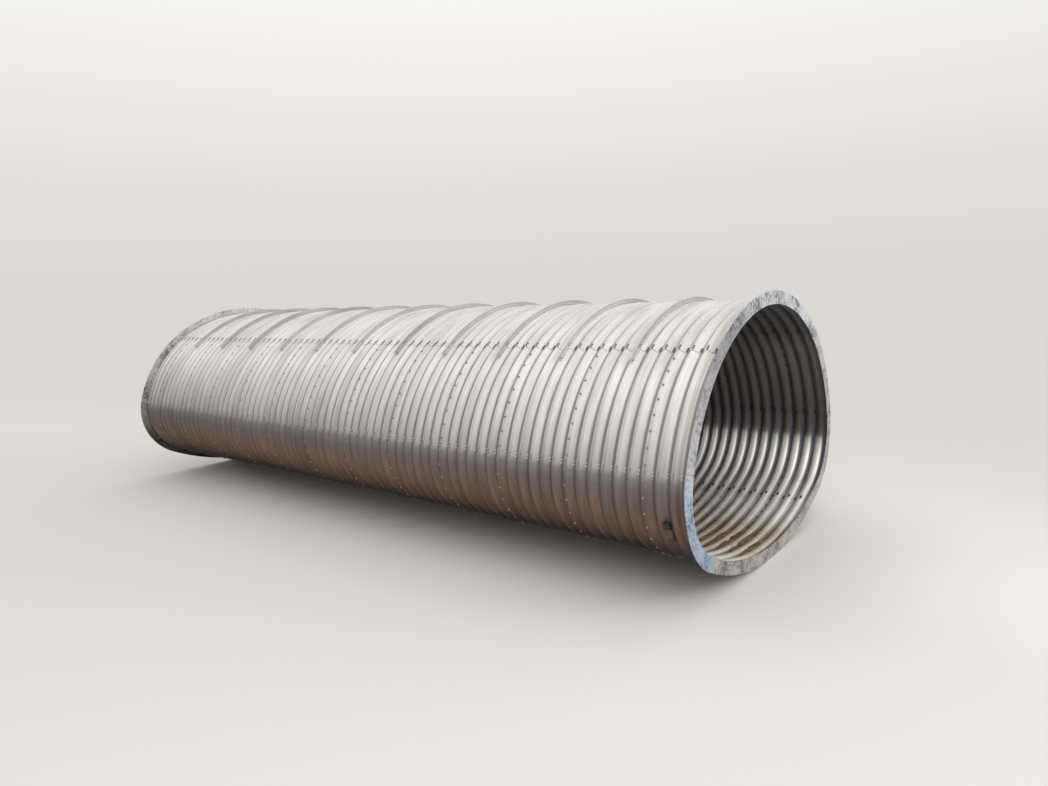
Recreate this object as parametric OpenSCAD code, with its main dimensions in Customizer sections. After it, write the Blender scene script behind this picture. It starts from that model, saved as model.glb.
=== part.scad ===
// Corrugated aluminium structural-plate culvert barrel, as it hangs ready to be bedded.
// The section is a pipe arch of four radii, bolted up from curved corrugated plates.
// The near end faces -Y. The barrel runs along Y, and its lowest edge is at Z = 0.

/* [Corrugation] */
// Distance from one crest to the next along the barrel
pitch = 228.6; // [215:0.1:400]
// Height of a crest over a valley, measured on the middle of the sheet
depth = 63.5; // [40:0.1:84]
// Bend radius of crests and valleys, on the middle of the sheet
bend_radius = 59.7; // [45:0.1:66]
// Thickness of the sheet
sheet = 5; // [2.5:0.1:8]

/* [Section] */
// Radius of the crown plates, on the middle of the corrugation
crown_radius = 3480; // [2500:10:5000]
// Half the angle that the crown plates cover, in degrees
crown_half_angle = 36; // [25:0.5:45]
// Radius of the side plates
side_radius = 2955; // [1800:5:3400]
// Angle from the vertical at which the side plates end, in degrees
side_end_angle = 76.5; // [60:0.5:90]
// Radius of the haunch plates at the lower corners
haunch_radius = 1200; // [700:10:1600]
// Angle from the vertical at which the haunch plates end, in degrees
haunch_end_angle = 155; // [145:0.5:165]
// Length of lap where one plate lies over the next
seam_lap = 115; // [80:5:220]

/* [Length] */
// Rings of plates of full width, each with a rib
full_rings = 11; // [8:1:16]
// Corrugations across a ring of full width
ring_pitches = 6; // [4:1:8]
// Corrugations across the narrow ring at each end
end_pitches = 3; // [2:1:6]

/* [Ribs] */
// Angle from the vertical at which a rib ends, in degrees
rib_half_angle = 42; // [25:0.1:60]
// Height of a rib over the crest that it stands on
rib_height = 84; // [70:1:160]
// Width of a rib's foot
rib_foot = 60; // [30:1:90]
// Thickness of a rib's web and foot
rib_web = 9; // [5:0.5:16]
// Diameter of the bulb along a rib's top edge
rib_bulb = 26; // [14:1:40]
// Ribs that carry a lifting hole on each side, counted from the near end
lifting_ribs = [4, 8];
// Angle from the vertical of the lifting holes, in degrees
lifting_angle = 33.5; // [20:0.5:40]
// Height of the lifting holes over the crests
lifting_rise = 32; // [18:1:45]
// Diameter of a lifting hole
lifting_hole = 32; // [20:1:50]

/* [End rings] */
// Radial width of the flat face of an end ring
face_width = 225; // [100:5:350]
// Thickness of an end ring's face and leg
ring_plate = 10; // [6:0.5:20]
// How far the face stands inside the middle of the corrugation
face_inset = 48; // [30:1:80]
// Distance from the face to the middle of the first crest of the plates
face_to_crest = 43; // [30:1:110]
// Length of the leg along the barrel, from the face
leg_length = 85; // [60:1:110]
// Angle from the vertical of the joint on the left of the crown, in degrees
top_joint_left = 20; // [10:1:34]

/* [Hidden] */
// Gap that lapped sheets and bolted faces keep
seat = 0.3;
// Facets of full circles, and the turn of each step of a bend, in degrees
$fn = 96;
// Slope of the straight part between a crest and a valley: it touches both bends
bends_apart = [pitch / 2, 2 * bend_radius - depth];
flank_angle = asin(2 * bend_radius / norm(bends_apart)) - atan2(bends_apart[1], bends_apart[0]);
bend_step = flank_angle / 2;

// Radius of the invert, which closes the section
invert_radius = (crown_radius * sin(crown_half_angle)
    + side_radius * (sin(side_end_angle) - sin(crown_half_angle))
    + haunch_radius * (sin(haunch_end_angle) - sin(side_end_angle))) / sin(haunch_end_angle);
// How far two lapped plates of different radii stand apart in the middle of the lap when they
// touch at its edges
function opening(a, b) = pow(seam_lap / 2, 2) / 2 * abs(1 / a - 1 / b);
// Outer faces of the plates, off the middle of the corrugation: side plates lie under the crown
// and haunch plates, and the invert lies under the haunch plates
side_face = 0;
crown_face = side_face + seat + opening(crown_radius, side_radius) + sheet;
haunch_face = side_face + seat + opening(haunch_radius, side_radius) + sheet;
invert_face = haunch_face - sheet - seat - opening(haunch_radius, invert_radius);
// Rise of the middle of the corrugation, from invert to crown
rise = crown_radius * (1 - cos(crown_half_angle))
    + side_radius * (cos(crown_half_angle) - cos(side_end_angle))
    + haunch_radius * (cos(side_end_angle) - cos(haunch_end_angle))
    + invert_radius * (cos(haunch_end_angle) + 1);
outer_reach = face_width - face_inset;
crown_z = rise + outer_reach;

// Centres of the arcs, as [x, z] on the right-hand half
crown_c = [0, crown_z - crown_radius];
side_c = crown_c + (crown_radius - side_radius) * [sin(crown_half_angle), cos(crown_half_angle)];
haunch_c = side_c + (side_radius - haunch_radius) * [sin(side_end_angle), cos(side_end_angle)];
invert_c = [0, outer_reach + invert_radius];

// Half the lap as an angle on each radius
crown_lap = seam_lap / 2 / crown_radius * 180 / PI;
side_lap = seam_lap / 2 / side_radius * 180 / PI;
haunch_lap = seam_lap / 2 / haunch_radius * 180 / PI;
invert_lap = seam_lap / 2 / invert_radius * 180 / PI;

barrel_pitches = full_rings * ring_pitches + 2 * end_pitches;
plates_length = barrel_pitches * pitch;
total_length = plates_length + 2 * face_to_crest;
// How far the end plates run past their last crest, up to the face
end_reach = face_to_crest - ring_plate - seat;
plates_start = -plates_length / 2;
crest = depth / 2 + crown_face;
rings = full_rings + 2;

function pitches(i) = i == 1 || i == rings ? end_pitches : ring_pitches;
function ring_start(i) = plates_start + (i == 1 ? 0 : (end_pitches + (i - 2) * ring_pitches) * pitch);
function rib_y(i) = ring_start(i + 1) + ring_pitches * pitch / 2;

plate_colour = [0.82, 0.81, 0.79];
wall_colour = [0.74, 0.73, 0.72];
invert_colour = [0.62, 0.60, 0.58];
rib_colour = [0.70, 0.70, 0.69];
ring_colour = [0.66, 0.69, 0.73];

// Points of one bend of the sheet, d off its middle: side is 1 for a crest and -1 for a valley
function bend(y, side, d, from, to) =
    let (r = bend_radius + side * d, steps = round((to - from) / bend_step))
    [for (i = [0 : steps]) let (a = from + (to - from) * i / steps)
        [side * (depth / 2 - bend_radius + r * cos(a)), y + r * sin(a)]];

// A wavy line from the middle of one crest to the middle of another
function wave(first, last, d) = concat(
    bend(first * pitch, 1, d, 0, flank_angle),
    [for (k = [first : last - 1]) each concat(
        bend((k + 0.5) * pitch, -1, d, -flank_angle, flank_angle),
        bend((k + 1) * pitch, 1, d, -flank_angle, k == last - 1 ? 0 : flank_angle))]);

// The part of a wavy line that lies between two places along the barrel, cut off square
function part_of(line, from, to) = let (height = [for (p = line) [p[1], p[0]]])
    concat([[lookup(from, height), from]], [for (p = line) if (p[1] > from && p[1] < to) p],
        [[lookup(to, height), to]]);

// Section of ring i's corrugated sheet, with its two faces d0 and d1 off the middle. It runs from
// crest to crest, and at an end of the barrel on to the face of the end ring.
module sheet_outline(i, d0, d1) {
    from = i == 1 ? -end_reach : seat / 2;
    to = pitches(i) * pitch + (i == rings ? end_reach : -seat / 2);
    inner = part_of(wave(i == 1 ? -1 : 0, pitches(i) + (i == rings ? 1 : 0), d0), from, to);
    outer = part_of(wave(i == 1 ? -1 : 0, pitches(i) + (i == rings ? 1 : 0), d1), from, to);
    polygon(concat(inner, [for (k = [len(outer) - 1 : -1 : 0]) outer[k]]));
}

// Turns a section round one of the barrel's arcs, from one angle off the vertical to another.
// The section's X is the radius and its Y runs along the barrel from y.
module along_arc(c, from, to, y)
    translate([c[0], y, c[1]]) rotate([90, 0, 0]) rotate([0, 0, 90 - to])
        rotate_extrude(angle = to - from, $fn = 360) mirror([0, 1]) children();

// One corrugated plate of ring i, with its outer face at level off the middle of the corrugation
module plate(c, r, from, to, i, level)
    along_arc(c, from, to, ring_start(i))
        translate([r, 0]) sheet_outline(i, level - sheet, level);

module both_sides() {
    children();
    mirror([1, 0, 0]) children();
}

// One crown plate: it lies outside the side plates along both its seams
module crown_plate(i)
    color(plate_colour)
        plate(crown_c, crown_radius, -crown_half_angle - crown_lap, crown_half_angle + crown_lap,
            i, crown_face);

// The side and haunch plates of one ring, left and right
module side_plates(i)
    color(wall_colour) both_sides() {
        plate(side_c, side_radius, crown_half_angle - side_lap, side_end_angle + side_lap,
            i, side_face);
        plate(haunch_c, haunch_radius, side_end_angle - haunch_lap, haunch_end_angle + haunch_lap,
            i, haunch_face);
    }

// The wide, shallow plate underfoot
module invert_plate(i)
    color(invert_colour)
        plate(invert_c, invert_radius, haunch_end_angle - invert_lap, 360 - haunch_end_angle + invert_lap,
            i, invert_face);

// A bulb section rolled to the crown, standing on the crest at y
module rib(y, holed)
    difference() {
        along_arc(crown_c, -rib_half_angle, rib_half_angle, y)
            translate([crown_radius + crest + seat, 0]) {
                translate([0, -rib_foot / 2]) square([rib_web, rib_foot]);
                translate([0, -rib_web / 2]) square([rib_height - rib_bulb / 2, rib_web]);
                translate([rib_height - rib_bulb / 2, 0]) circle(d = rib_bulb);
            }
        if (holed)
            both_sides()
                translate([0, y, crown_c[1]]) rotate([0, lifting_angle, 0])
                    translate([0, 0, crown_radius + crest + lifting_rise])
                        rotate([90, 0, 0]) cylinder(d = lifting_hole, h = rib_web * 3, center = true);
    }

module crown_ribs()
    color(rib_colour)
        for (i = [1 : full_rings])
            rib(rib_y(i), len([for (k = lifting_ribs) if (k == i) k]) > 0);

// One rolled piece of an end ring: a flat face, and a leg that laps the last crest of the plates,
// whose outer face is at level
module ring_piece(c, r, from, to, level)
    along_arc(c, from, to, 0) translate([r, 0]) {
        translate([-face_inset, 0]) square([face_width, ring_plate]);
        translate([depth / 2 + level + seat, 0])
            square([ring_plate, leg_length]);
    }

// One end ring in seven pieces, with its face on Y = 0 and its legs towards +Y. Each piece ends
// where the plate that it laps ends, so that its leg lies flat on that plate.
module end_ring() {
    slot = 0.05;
    crown_end = crown_half_angle + crown_lap - slot;
    ring_piece(crown_c, crown_radius, -top_joint_left + slot, crown_end, crown_face);
    ring_piece(crown_c, crown_radius, -crown_end, -top_joint_left - slot, crown_face);
    both_sides() {
        ring_piece(side_c, side_radius, crown_half_angle + side_lap + slot,
            side_end_angle - side_lap - slot, side_face);
        ring_piece(haunch_c, haunch_radius, side_end_angle - haunch_lap + 4 * slot,
            haunch_end_angle + haunch_lap - 4 * slot, haunch_face);
    }
    ring_piece(invert_c, invert_radius, haunch_end_angle + invert_lap + slot,
        360 - haunch_end_angle - invert_lap - slot, invert_face);
}

module near_end_ring()
    color(ring_colour)
        translate([0, -total_length / 2, 0]) end_ring();

module far_end_ring()
    color(ring_colour)
        translate([0, total_length / 2, 0]) mirror([0, 1, 0]) end_ring();

function numbered(name, i) = str(name, i < 10 ? "_0" : "_", i);

for (i = [1 : rings]) {
    crown_plate(i);
    side_plates(i);
    invert_plate(i);
}
crown_ribs();
near_end_ring();
far_end_ring();
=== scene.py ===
# %% [markdown]
# A corrugated aluminium culvert barrel, bolted up from curved plates and ready to be bedded. The CAD
# model gives its structure; this lesson dresses it. The sheet is rolled into a smooth wave, so the
# plates are swept again here with rounder bends, and the bolts, the dirt and the metal are added.

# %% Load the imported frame
import math
from collections import namedtuple

import bmesh
import bpy
import numpy as np
from mathutils import Matrix, Vector


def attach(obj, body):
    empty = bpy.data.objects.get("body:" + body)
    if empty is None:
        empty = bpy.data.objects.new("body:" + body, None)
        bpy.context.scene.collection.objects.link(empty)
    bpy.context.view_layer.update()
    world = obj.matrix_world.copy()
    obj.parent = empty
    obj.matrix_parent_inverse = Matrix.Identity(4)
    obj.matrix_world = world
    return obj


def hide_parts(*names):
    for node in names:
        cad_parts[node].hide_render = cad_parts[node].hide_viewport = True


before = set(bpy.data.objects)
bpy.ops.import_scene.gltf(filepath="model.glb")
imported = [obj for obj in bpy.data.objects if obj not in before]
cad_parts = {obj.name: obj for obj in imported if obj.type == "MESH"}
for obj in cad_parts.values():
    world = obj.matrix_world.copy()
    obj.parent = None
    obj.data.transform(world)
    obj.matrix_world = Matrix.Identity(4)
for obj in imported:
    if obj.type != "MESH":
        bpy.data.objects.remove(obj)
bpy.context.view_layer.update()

# %% [markdown]
# Everything hangs on a few real sizes, the same ones that the CAD model is driven by. They are given in
# metres, because Blender's unit is the metre. A radius is that of the middle of the corrugation, and an
# angle is counted from the vertical.

# %% Sizes of the corrugation and of the section
PITCH = 0.2286            # from one crest to the next
DEPTH = 0.0635            # from a valley to a crest, on the middle of the sheet
BEND = 0.0597             # radius of a bend, on the middle of the sheet
SHEET = 0.005             # thickness of the sheet
LAP = 0.115               # width of a lap, where one plate lies over the next
SEAT = 0.0003             # gap that lapped sheets and bolted faces keep
RINGS = 13                # rings of plates, with the narrow one at each end
RING_PITCHES = 6          # corrugations across a full ring
END_PITCHES = 3           # corrugations across a narrow one
RING_PLATE = 0.010        # thickness of an end ring's angle
FACE_TO_CREST = 0.043     # from an end ring's face to the middle of the first crest
OUTER_REACH = 0.177       # of an end ring's face outside the middle of the corrugation
R_CROWN, R_SIDE, R_HAUNCH = 3.480, 2.955, 1.200
A_CROWN, A_SIDE, A_HAUNCH, A_FOOT = (math.radians(a) for a in (36.0, 76.5, 155.0, 160.0))
print(f"corrugation {PITCH * 1000:.1f} by {DEPTH * 1000:.1f} mm, {RINGS} rings of plates")

# %% [markdown]
# The invert's radius and the rise follow from the other arcs, because each arc meets the next without a
# corner. Lapped plates of different radii touch at the edges of the lap and stand apart in its middle,
# so each kind of plate has a level of its own for its outer face, counted from the middle of the wave.

# %% Sizes that follow from them
R_INVERT = (R_CROWN * math.sin(A_CROWN) + R_SIDE * (math.sin(A_SIDE) - math.sin(A_CROWN))
            + R_HAUNCH * (math.sin(A_HAUNCH) - math.sin(A_SIDE))) / math.sin(A_HAUNCH)
RISE = (R_CROWN * (1 - math.cos(A_CROWN)) + R_SIDE * (math.cos(A_CROWN) - math.cos(A_SIDE))
        + R_HAUNCH * (math.cos(A_SIDE) - math.cos(A_HAUNCH)) + R_INVERT * (math.cos(A_HAUNCH) + 1))
PLATES_LENGTH = ((RINGS - 2) * RING_PITCHES + 2 * END_PITCHES) * PITCH
HALF_LENGTH = PLATES_LENGTH / 2 + FACE_TO_CREST
END_REACH = FACE_TO_CREST - RING_PLATE - SEAT


def opening(a, b):
    """How far two lapped plates of different radii stand apart in the middle of the lap."""
    return (LAP / 2) ** 2 / 2 * abs(1 / a - 1 / b)


SIDE_FACE = 0.0
CROWN_FACE = SEAT + opening(R_CROWN, R_SIDE) + SHEET
HAUNCH_FACE = SEAT + opening(R_HAUNCH, R_SIDE) + SHEET
INVERT_FACE = HAUNCH_FACE - SHEET - SEAT
print(f"invert radius {R_INVERT:.3f} m, rise {RISE:.3f} m, half length {HALF_LENGTH:.3f} m")

# %% [markdown]
# The section is a pipe arch: four kinds of arc that meet without a corner. An arc is kept as its
# centre, radius and two angles, and a small function gives any point on it. The haunch plates run on
# past their tight bend: their foot follows the invert's own arc to the lap.

# %% The arcs of the section
TOP = RISE + OUTER_REACH
C_CROWN = Vector((0, 0, TOP - R_CROWN))
C_SIDE = C_CROWN + (R_CROWN - R_SIDE) * Vector((math.sin(A_CROWN), 0, math.cos(A_CROWN)))
C_HAUNCH = C_SIDE + (R_SIDE - R_HAUNCH) * Vector((math.sin(A_SIDE), 0, math.cos(A_SIDE)))
C_INVERT = Vector((0, 0, OUTER_REACH + R_INVERT))

# face is the level of the outer face; laps says at which ends the plates run on by half a lap
Arc = namedtuple("Arc", "centre radius first last face laps")
ARCS = {
    "crown": Arc(C_CROWN, R_CROWN, -A_CROWN, A_CROWN, CROWN_FACE, (1, 1)),
    "side": Arc(C_SIDE, R_SIDE, A_CROWN, A_SIDE, SIDE_FACE, (1, 1)),
    "haunch": Arc(C_HAUNCH, R_HAUNCH, A_SIDE, A_HAUNCH, HAUNCH_FACE, (1, 0)),
    "foot": Arc(C_INVERT, R_INVERT, A_HAUNCH, A_FOOT, HAUNCH_FACE, (0, 1)),
    "invert": Arc(C_INVERT, R_INVERT, A_FOOT, 2 * math.pi - A_FOOT, INVERT_FACE, (1, 1)),
}


def sides(kind):
    """The crown and the invert lie across the middle; the other arcs come in pairs, right and left."""
    return (1,) if kind in ("crown", "invert") else (1, -1)


def on_arc(kind, angle, off, y, side=1):
    """A point off the middle of the corrugation, and the outward direction there."""
    out = Vector((math.sin(angle), 0, math.cos(angle)))
    point = ARCS[kind].centre + (ARCS[kind].radius + off) * out + Vector((0, y, 0))
    return Vector((side * point.x, point.y, point.z)), Vector((side * out.x, 0, out.z))


print("radii of the arcs:", {kind: round(arc.radius, 3) for kind, arc in ARCS.items()})

# %% [markdown]
# Along the barrel the rings are counted from the near end. A ring starts at the middle of its first
# crest, which is where the seam to the ring before it lies.


# %% Places along the barrel
def ring_start(i):
    return -PLATES_LENGTH / 2 + (0 if i == 1 else END_PITCHES + (i - 2) * RING_PITCHES) * PITCH


def sheet_ends(i):
    """Where ring i's sheets begin and end, counted from the middle of their first crest."""
    pitches = END_PITCHES if i in (1, RINGS) else RING_PITCHES
    return (-END_REACH if i == 1 else SEAT / 2,
            pitches * PITCH + (END_REACH if i == RINGS else -SEAT / 2))


print("rings start at", [round(ring_start(i), 2) for i in range(1, RINGS + 1)])

# %% [markdown]
# The camera stands where the photograph was taken: its place, aim and lens came from fitting the two end
# rings, the ribs and the seams. The photograph's frame is 1048 by 786, and the lens follows from its
# width.

# %% Camera
PHOTO_WIDTH, FOCAL_LENGTH = 1048, 710.454    # in pixels
SENSOR_WIDTH = 36.0                          # in millimetres
RIGHT_OF_FRAME = Vector((0.623299, -0.781306, -0.032548))
VIEW_AHEAD = Vector((0.772367, 0.621609, -0.130583))
EYE = (-12.01312, -12.46567, 4.63433)
camera_data = bpy.data.cameras.new("camera")
camera_data.sensor_fit = "HORIZONTAL"
camera_data.sensor_width = SENSOR_WIDTH
camera_data.lens = FOCAL_LENGTH / PHOTO_WIDTH * SENSOR_WIDTH
camera_data.clip_end = 300
camera = bpy.data.objects.new("camera", camera_data)
bpy.context.collection.objects.link(camera)
right, ahead = RIGHT_OF_FRAME.normalized(), VIEW_AHEAD.normalized()
camera.matrix_world = Matrix((right, right.cross(ahead), -ahead)).transposed().to_4x4()
camera.location = EYE
bpy.context.scene.camera = camera
bpy.context.scene.view_settings.view_transform = "Standard"
print(f"lens {camera_data.lens:.2f} mm")

# %% [markdown]
# Colours are written as sRGB hex, the way a paint shop or a web page gives them, and one function turns
# them to the linear values that the shaders use. A second adds a node, sets it and links it, for
# material and geometry trees alike. A Mix node has sockets for numbers, vectors and colours under the
# same names, so those for colours go by their place in the row, which gets a name here.

# %% Helpers for colours and nodes
UNDER, OVER, MIXED = 6, 7, 2
MIX = {"data_type": "RGBA"}
TINT = {"data_type": "RGBA", "blend_type": "MULTIPLY"}


def linear(hex_colour, alpha=1.0):
    channels = [int(hex_colour[i:i + 2], 16) / 255 for i in (1, 3, 5)]
    return (*[c / 12.92 if c <= 0.04045 else ((c + 0.055) / 1.055) ** 2.4 for c in channels], alpha)


def connect(tree, node, sockets):
    """sockets maps an input's name or number to a value, to an output or to a node's first output."""
    for key, value in sockets.items():
        if isinstance(value, bpy.types.Node):
            value = value.outputs[0]
        if isinstance(value, bpy.types.NodeSocket):
            tree.links.new(value, node.inputs[key])
        else:
            node.inputs[key].default_value = value


def add(tree, kind, sockets=None, stops=(), **settings):
    """Add a node with its settings and its sockets; stops are a colour ramp's (position, hex) pairs."""
    node = tree.nodes.new(kind)
    for key, value in settings.items():
        setattr(node, key, value)
    connect(tree, node, sockets or {})
    if stops:
        elements = node.color_ramp.elements
        for element, (at, colour) in zip(elements, (stops[0], stops[-1])):
            element.position, element.color = at, linear(colour)
        for at, colour in stops[1:-1]:
            elements.new(at).color = linear(colour)
    return node


def new_material(name):
    material = bpy.data.materials.new(name)
    material.use_nodes = True
    tree = material.node_tree
    tree.nodes.clear()
    shader = add(tree, "ShaderNodeBsdfPrincipled")
    add(tree, "ShaderNodeOutputMaterial", {"Surface": shader})
    return material, tree, shader


print("mid grey in linear light:", round(linear("#808080")[0], 3))

# %% [markdown]
# Studio: a plain pale floor under a world that is white overhead and pale grey round the horizon. The
# floor is matt, so that it takes the barrel's soft shadow and shows no mirror of it.

# %% Floor and world
FLOOR_HALF, FLOOR_DROP = 150, 0.002
corners = [(-1, -1), (1, -1), (1, 1), (-1, 1)]
floor_mesh = bpy.data.meshes.new("floor")
floor_mesh.from_pydata([(x * FLOOR_HALF, y * FLOOR_HALF, 0) for x, y in corners], [], [(0, 1, 2, 3)])
floor = bpy.data.objects.new("floor", floor_mesh)
bpy.context.collection.objects.link(floor)
floor.location.z = -FLOOR_DROP
floor_material, tree, shader = new_material("plain_floor")
connect(tree, shader, {"Base Color": linear("#d6d2cd"), "Roughness": 0.9, "Specular IOR Level": 0.1})
floor_mesh.materials.append(floor_material)

world = bpy.data.worlds.new("studio")
bpy.context.scene.world = world
world.use_nodes = True
tree = world.node_tree
tree.nodes.clear()
where = add(tree, "ShaderNodeTexCoord")
height = add(tree, "ShaderNodeSeparateXYZ", {0: where.outputs["Generated"]})
sky = add(tree, "ShaderNodeValToRGB", {0: height.outputs["Z"]},
          [(0.0, "#d2cfcb"), (0.15, "#dad7d3"), (0.6, "#ffffff"), (1.0, "#ffffff")])
light = add(tree, "ShaderNodeBackground", {"Color": sky, "Strength": 1.1})
add(tree, "ShaderNodeOutputWorld", {"Surface": light})
print("floor and world made")

# %% [markdown]
# Three area lamps. The big soft one stands beside the camera, on the side of the near end, so the
# flanks of the corrugations that face it are a little lighter than those that face away. A smaller one
# looks into the near mouth. The last stands far beyond the other end and shines in through the barrel,
# as daylight does there; its narrow spread keeps it from making a bright pool on the floor.

# %% Lamps
# name, watts, size, spread in degrees, place, aim
LAMPS = (("softbox", 1300, (20, 13), 180, (-14, -19, 10), (0, -4, 2)),
         ("mouth_softbox", 76, (5, 4), 90, (1.5, -17, 6), (0.8, -7, 0.8)),
         ("far_spot", 85, (9, 9), 12, (-3.0, 60, 8), (1.0, -4, 1.0)))
for name, watts, size, spread, place, aim in LAMPS:
    lamp_data = bpy.data.lights.new(name, "AREA")
    lamp_data.shape, (lamp_data.size, lamp_data.size_y) = "RECTANGLE", size
    lamp_data.energy, lamp_data.spread = watts, math.radians(spread)
    lamp = bpy.data.objects.new(name, lamp_data)
    bpy.context.collection.objects.link(lamp)
    lamp.location = place
    lamp.rotation_euler = (Vector(aim) - lamp.location).to_track_quat("-Z", "Y").to_euler()
print("lamps made:", len(LAMPS))

# %% [markdown]
# Structural plate is mill-finish aluminium: it leaves the rolls bare, a warm silver with fine streaks
# along the rolling direction, which runs round the barrel, and weather turns it satin. Real roll marks
# are finer than a millimetre; they are drawn eleven wide and more than a metre long so that they show.
# Every plate comes from another coil, so each has its own faint tone, kept on the points of its mesh.


# %% Roll marks and the coil's tone
def cells(millimetres):
    """A noise's scale: how many of its cells fit in a metre, to one decimal, when one is this wide."""
    return round(1000 / millimetres, 1)


def roll_marks(tree, place):
    """The streaks, which also shape the gloss, and their colour times the tone of the plate."""
    streak, band = (cells(1250), cells(11.11), cells(1250)), (cells(1430), cells(111), cells(1430))
    fine = add(tree, "ShaderNodeMapping", {"Vector": place, "Scale": streak})
    streaks = add(tree, "ShaderNodeTexNoise", {"Vector": fine, "Scale": 1.0, "Detail": 6.0,
                                               "Roughness": 0.65})
    wide = add(tree, "ShaderNodeMapping", {"Vector": place, "Scale": band})
    bands = add(tree, "ShaderNodeTexNoise", {"Vector": wide, "Scale": 1.0, "Detail": 3.0})
    both = add(tree, "ShaderNodeMath", {0: streaks, 1: bands}, operation="ADD")
    half = add(tree, "ShaderNodeMath", {0: both, 1: 0.5}, operation="MULTIPLY")
    marks = add(tree, "ShaderNodeValToRGB", {0: half}, [(0.38, "#dcdad6"), (0.58, "#ffffff")])
    tone = add(tree, "ShaderNodeAttribute", attribute_name="tone")
    toned = add(tree, "ShaderNodeMix", {"Factor": 1.0, UNDER: marks, OVER: tone}, **TINT)
    return streaks, toned.outputs[MIXED]


print("roll marks to the metre:", cells(11.11))

# %% [markdown]
# Shade is painted into the grooves. The material finds them by the corrugation's own wave, a cosine of
# the place along the barrel that is 1 on an outer crest and -1 in an outer valley. The painted shade
# lies a little beside the valley's middle, and not by the same amount all along the barrel. The colour
# of the ridges and that of the grooves each follow the height above the ground, and the lower half is
# darkened with painted shade and a painted reflection of brown ground. A coarse noise makes the edges
# between the colours ragged, and a film of mud or dust can be laid over them before the roll marks tint
# it all.


# %% Mill-finish aluminium
def painted_groove_shade(tree, y, groove, shift, drift):
    """groove: where in the wave the painted shade starts and is full; shift, drift: by how many radians it
    lies beside the valley at mid length, and how that changes with each metre."""
    turns = add(tree, "ShaderNodeMath", {0: y, 1: 2 * math.pi / PITCH - drift, 2: shift},
                operation="MULTIPLY_ADD")
    swell = add(tree, "ShaderNodeMath", {0: turns}, operation="COSINE")
    return add(tree, "ShaderNodeMapRange", {"Value": swell, "From Min": groove[0], "From Max": groove[1]},
               interpolation_type="SMOOTHSTEP")


def mill_aluminium(name, roughness, metallic, ridges, grooves, groove=(0.9, 1.0), shift=0.0, drift=0.0,
                   ragged=0.1, film=None):
    """ridges, grooves: stops of (height in metres, hex); ragged: how far their edges wander, in metres."""
    material, tree, shader = new_material(name)
    place = add(tree, "ShaderNodeTexCoord").outputs["Object"]
    apart = add(tree, "ShaderNodeSeparateXYZ", {0: place})
    patches = add(tree, "ShaderNodeTexNoise", {"Vector": place, "Scale": cells(770), "Detail": 8.0,
                                               "Roughness": 0.6})
    broken = add(tree, "ShaderNodeMath", {0: patches, 1: ragged, 2: apart.outputs["Z"]},
                 operation="MULTIPLY_ADD")
    # the noise is about a half on the whole, so half of what it adds is taken off again
    level = add(tree, "ShaderNodeMapRange", {"Value": broken, "From Min": ragged / 2,
                                             "From Max": TOP + ragged / 2})
    on_ridge, in_groove = (
        add(tree, "ShaderNodeValToRGB", {0: level}, [(z / TOP, colour) for z, colour in stops])
        for stops in (ridges, grooves))
    # the grooves' darker colour is painted shade
    groove_shade = painted_groove_shade(tree, apart.outputs["Y"], groove, shift, drift)
    groove_shaded = add(tree, "ShaderNodeMix", {"Factor": groove_shade, UNDER: on_ridge, OVER: in_groove}, **MIX)
    shaded_and_dirty = groove_shaded.outputs[MIXED]
    if film:
        shaded_and_dirty = film(tree, place, apart, broken, shaded_and_dirty)
    streaks, marks = roll_marks(tree, place)
    skin = add(tree, "ShaderNodeMix", {"Factor": 1.0, UNDER: shaded_and_dirty, OVER: marks}, **TINT)
    rough = add(tree, "ShaderNodeMapRange", {"Value": streaks, "From Min": 0.3, "From Max": 0.7,
                                             "To Min": roughness - 0.06, "To Max": roughness + 0.08})
    bump = add(tree, "ShaderNodeBump", {"Height": streaks, "Strength": 0.15, "Distance": 0.002})
    connect(tree, shader, {"Base Color": skin.outputs[MIXED], "Roughness": rough, "Metallic": metallic,
                           "Normal": bump})
    return material


print(f"aluminium ready: one turn of the wave to {PITCH} m")

# %% [markdown]
# Outside, mud was splashed up and ran down: patches a few centimetres wide and decimetres tall. They
# cover most of what lies under 1.3 metres and thin out up to 1.9. Higher up they have dried to tan;
# near the ground they are nearly black, which is painted shade.


# %% Mud splashed up outside
def mud_splashes(tree, place, apart, broken, under):
    """place is the point, apart its X, Y and Z, broken its ragged height and under the colour below."""
    run = (cells(500), cells(71.4), cells(500))
    runs = add(tree, "ShaderNodeMapping", {"Vector": place, "Scale": run})
    drops = add(tree, "ShaderNodeTexNoise", {"Vector": runs, "Scale": 1.0, "Detail": 8.0, "Roughness": 0.7})
    reach = add(tree, "ShaderNodeMapRange", {"Value": broken, "From Min": 1.9, "From Max": 1.3,
                                             "To Max": 0.30})
    near = add(tree, "ShaderNodeMath", {0: drops, 1: reach}, operation="ADD")
    mud = add(tree, "ShaderNodeMapRange", {"Value": near, "From Min": 0.62, "From Max": 0.85})
    # the nearly black colour near the ground is painted shade
    shaded_mud = add(tree, "ShaderNodeValToRGB", {0: apart.outputs["Z"]},
               [(0.0, "#241f1d"), (0.82, "#332b28"), (1.0, "#644f42")])
    dried = add(tree, "ShaderNodeMapRange", {"Value": apart.outputs["Z"], "From Min": 1.0, "From Max": 1.5})
    tan = add(tree, "ShaderNodeMix", {"Factor": dried, UNDER: shaded_mud, OVER: linear("#8d6d58")}, **MIX)
    muddy = add(tree, "ShaderNodeMix", {"Factor": mud, UNDER: under, OVER: tan.outputs[MIXED]}, **MIX)
    return muddy.outputs[MIXED]


print("mud runs to the metre:", cells(71.4))

# %% [markdown]
# Inside, dust lies on the floor: thin at either mouth, thick from two metres in, and scuffed in patches
# two decimetres wide. In the middle of the near mouth it is tan from the soil there.


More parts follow.
